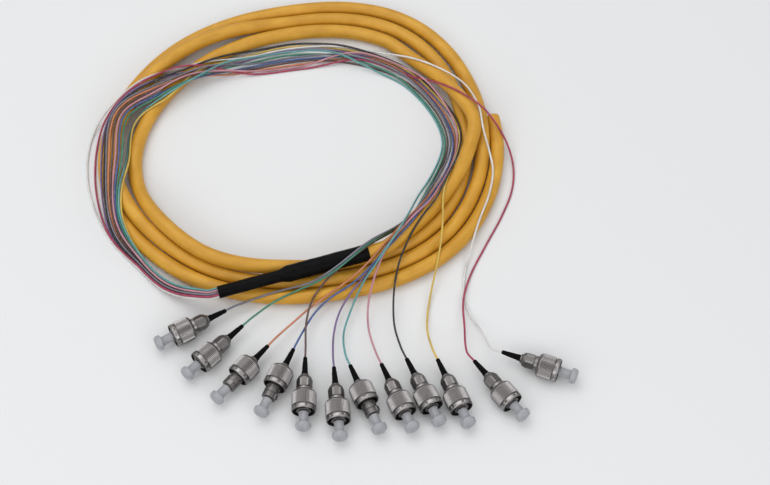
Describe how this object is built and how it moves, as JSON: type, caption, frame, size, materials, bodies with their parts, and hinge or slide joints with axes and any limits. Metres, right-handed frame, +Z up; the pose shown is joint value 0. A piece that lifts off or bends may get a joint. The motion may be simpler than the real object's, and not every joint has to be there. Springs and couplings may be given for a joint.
{
  "type": "fibre breakout cable",
  "caption": "Coiled round fibre cable whose coloured fibres leave a black shrink sleeve and end in capped round connectors.",
  "frame": {"origin": "on the floor, at the middle of the coil's, sleeve's and connectors' box", "axes": "+Y away from the connectors, along the longest side; +X to the right as seen from the connectors; +Z up"},
  "size_m": [0.2201, 0.2364, 0.019],
  "materials": {
    "jacket": "satin orange-yellow cable jacket",
    "sleeve": "black heat-shrink sleeve",
    "nickel": "nickel-plated connector body with a black rubber boot",
    "nut": "nickel-plated, knurled",
    "cap": "translucent grey moulded cap",
    "fibre_slate": "tight-buffered fibre, satin",
    "fibre_green": "tight-buffered fibre, satin",
    "fibre_orange": "tight-buffered fibre, satin",
    "fibre_blue": "tight-buffered fibre, satin",
    "fibre_brown": "tight-buffered fibre, satin",
    "fibre_violet": "tight-buffered fibre, satin",
    "fibre_aqua": "tight-buffered fibre, satin",
    "fibre_rose": "tight-buffered fibre, satin",
    "fibre_black": "tight-buffered fibre, satin",
    "fibre_yellow": "tight-buffered fibre, satin",
    "fibre_red": "tight-buffered fibre, satin",
    "fibre_white": "tight-buffered fibre, satin"
  },
  "bodies": {
    "cable": {"cable_jacket": "jacket", "breakout_sleeve": "sleeve", "fibre_1_slate": "fibre_slate", "fibre_2_green": "fibre_green", "fibre_3_orange": "fibre_orange", "fibre_4_blue": "fibre_blue", "fibre_5_brown": "fibre_brown", "fibre_6_violet": "fibre_violet", "fibre_7_aqua": "fibre_aqua", "fibre_8_rose": "fibre_rose", "fibre_9_black": "fibre_black", "fibre_10_yellow": "fibre_yellow", "fibre_11_red": "fibre_red", "fibre_12_white": "fibre_white", "connector_body_1": "nickel", "connector_body_2": "nickel", "connector_body_3": "nickel", "connector_body_4": "nickel", "connector_body_5": "nickel", "connector_body_6": "nickel", "connector_body_7": "nickel", "connector_body_8": "nickel", "connector_body_9": "nickel", "connector_body_10": "nickel", "connector_body_11": "nickel", "connector_body_12": "nickel"},
    "nut_1": {"coupling_nut_1": "nut"},
    "cap_1": {"dust_cap_1": "cap"},
    "nut_2": {"coupling_nut_2": "nut"},
    "cap_2": {"dust_cap_2": "cap"},
    "nut_3": {"coupling_nut_3": "nut"},
    "cap_3": {"dust_cap_3": "cap"},
    "nut_4": {"coupling_nut_4": "nut"},
    "cap_4": {"dust_cap_4": "cap"},
    "nut_5": {"coupling_nut_5": "nut"},
    "cap_5": {"dust_cap_5": "cap"},
    "nut_6": {"coupling_nut_6": "nut"},
    "cap_6": {"dust_cap_6": "cap"},
    "nut_7": {"coupling_nut_7": "nut"},
    "cap_7": {"dust_cap_7": "cap"},
    "nut_8": {"coupling_nut_8": "nut"},
    "cap_8": {"dust_cap_8": "cap"},
    "nut_9": {"coupling_nut_9": "nut"},
    "cap_9": {"dust_cap_9": "cap"},
    "nut_10": {"coupling_nut_10": "nut"},
    "cap_10": {"dust_cap_10": "cap"},
    "nut_11": {"coupling_nut_11": "nut"},
    "cap_11": {"dust_cap_11": "cap"},
    "nut_12": {"coupling_nut_12": "nut"},
    "cap_12": {"dust_cap_12": "cap"}
  },
  "joints": [
    {"name": "nut_spin_1", "type": "hinge", "parent": "cable", "child": "nut_1", "pos_m": [-0.06168, -0.06755, 0.0051], "axis": [-0.866, -0.5, 0], "continuous": true},
    {"name": "cap_pull_1", "type": "slide", "parent": "cable", "child": "cap_1", "axis": [-0.866, -0.5, 0], "range_m": [0, 0.015]},
    {"name": "nut_spin_2", "type": "hinge", "parent": "cable", "child": "nut_2", "pos_m": [-0.05053, -0.07959, 0.0051], "axis": [-0.6947, -0.7193, 0], "continuous": true},
    {"name": "cap_pull_2", "type": "slide", "parent": "cable", "child": "cap_2", "axis": [-0.6947, -0.7193, 0], "range_m": [0, 0.015]},
    {"name": "nut_spin_3", "type": "hinge", "parent": "cable", "child": "nut_3", "pos_m": [-0.0342, -0.08574, 0.0051], "axis": [-0.6361, -0.7716, 0], "continuous": true},
    {"name": "cap_pull_3", "type": "slide", "parent": "cable", "child": "cap_3", "axis": [-0.6361, -0.7716, 0], "range_m": [0, 0.015]},
    {"name": "nut_spin_4", "type": "hinge", "parent": "cable", "child": "nut_4", "pos_m": [-0.01969, -0.08953, 0.0051], "axis": [-0.3907, -0.9205, 0], "continuous": true},
    {"name": "cap_pull_4", "type": "slide", "parent": "cable", "child": "cap_4", "axis": [-0.3907, -0.9205, 0], "range_m": [0, 0.015]},
    {"name": "nut_spin_5", "type": "hinge", "parent": "cable", "child": "nut_5", "pos_m": [-0.00885, -0.1008, 0.0051], "axis": [0, -1, 0], "continuous": true},
    {"name": "cap_pull_5", "type": "slide", "parent": "cable", "child": "cap_5", "axis": [0, -1, 0], "range_m": [0, 0.015]},
    {"name": "nut_spin_6", "type": "hinge", "parent": "cable", "child": "nut_6", "pos_m": [0.00533, -0.1052, 0.0051], "axis": [0.0958, -0.9954, 0], "continuous": true},
    {"name": "cap_pull_6", "type": "slide", "parent": "cable", "child": "cap_6", "axis": [0.0958, -0.9954, 0], "range_m": [0, 0.015]},
    {"name": "nut_spin_7", "type": "hinge", "parent": "cable", "child": "nut_7", "pos_m": [0.01589, -0.09723, 0.0051], "axis": [0.3907, -0.9205, 0], "continuous": true},
    {"name": "cap_pull_7", "type": "slide", "parent": "cable", "child": "cap_7", "axis": [0.3907, -0.9205, 0], "range_m": [0, 0.015]},
    {"name": "nut_spin_8", "type": "hinge", "parent": "cable", "child": "nut_8", "pos_m": [0.0316, -0.10208, 0.0051], "axis": [0.3987, -0.9171, 0], "continuous": true},
    {"name": "cap_pull_8", "type": "slide", "parent": "cable", "child": "cap_8", "axis": [0.3987, -0.9171, 0], "range_m": [0, 0.015]},
    {"name": "nut_spin_9", "type": "hinge", "parent": "cable", "child": "nut_9", "pos_m": [0.04263, -0.09944, 0.0051], "axis": [0.4147, -0.91, 0], "continuous": true},
    {"name": "cap_pull_9", "type": "slide", "parent": "cable", "child": "cap_9", "axis": [0.4147, -0.91, 0], "range_m": [0, 0.015]},
    {"name": "nut_spin_10", "type": "hinge", "parent": "cable", "child": "nut_10", "pos_m": [0.05507, -0.10002, 0.0051], "axis": [0.3827, -0.9239, 0], "continuous": true},
    {"name": "cap_pull_10", "type": "slide", "parent": "cable", "child": "cap_10", "axis": [0.3827, -0.9239, 0], "range_m": [0, 0.015]},
    {"name": "nut_spin_11", "type": "hinge", "parent": "cable", "child": "nut_11", "pos_m": [0.07525, -0.09802, 0.0051], "axis": [0.6088, -0.7934, 0], "continuous": true},
    {"name": "cap_pull_11", "type": "slide", "parent": "cable", "child": "cap_11", "axis": [0.6088, -0.7934, 0], "range_m": [0, 0.015]},
    {"name": "nut_spin_12", "type": "hinge", "parent": "cable", "child": "nut_12", "pos_m": [0.09388, -0.08482, 0.0051], "axis": [0.9336, -0.3584, 0], "continuous": true},
    {"name": "cap_pull_12", "type": "slide", "parent": "cable", "child": "cap_12", "axis": [0.9336, -0.3584, 0], "range_m": [0, 0.015]}
  ]
}
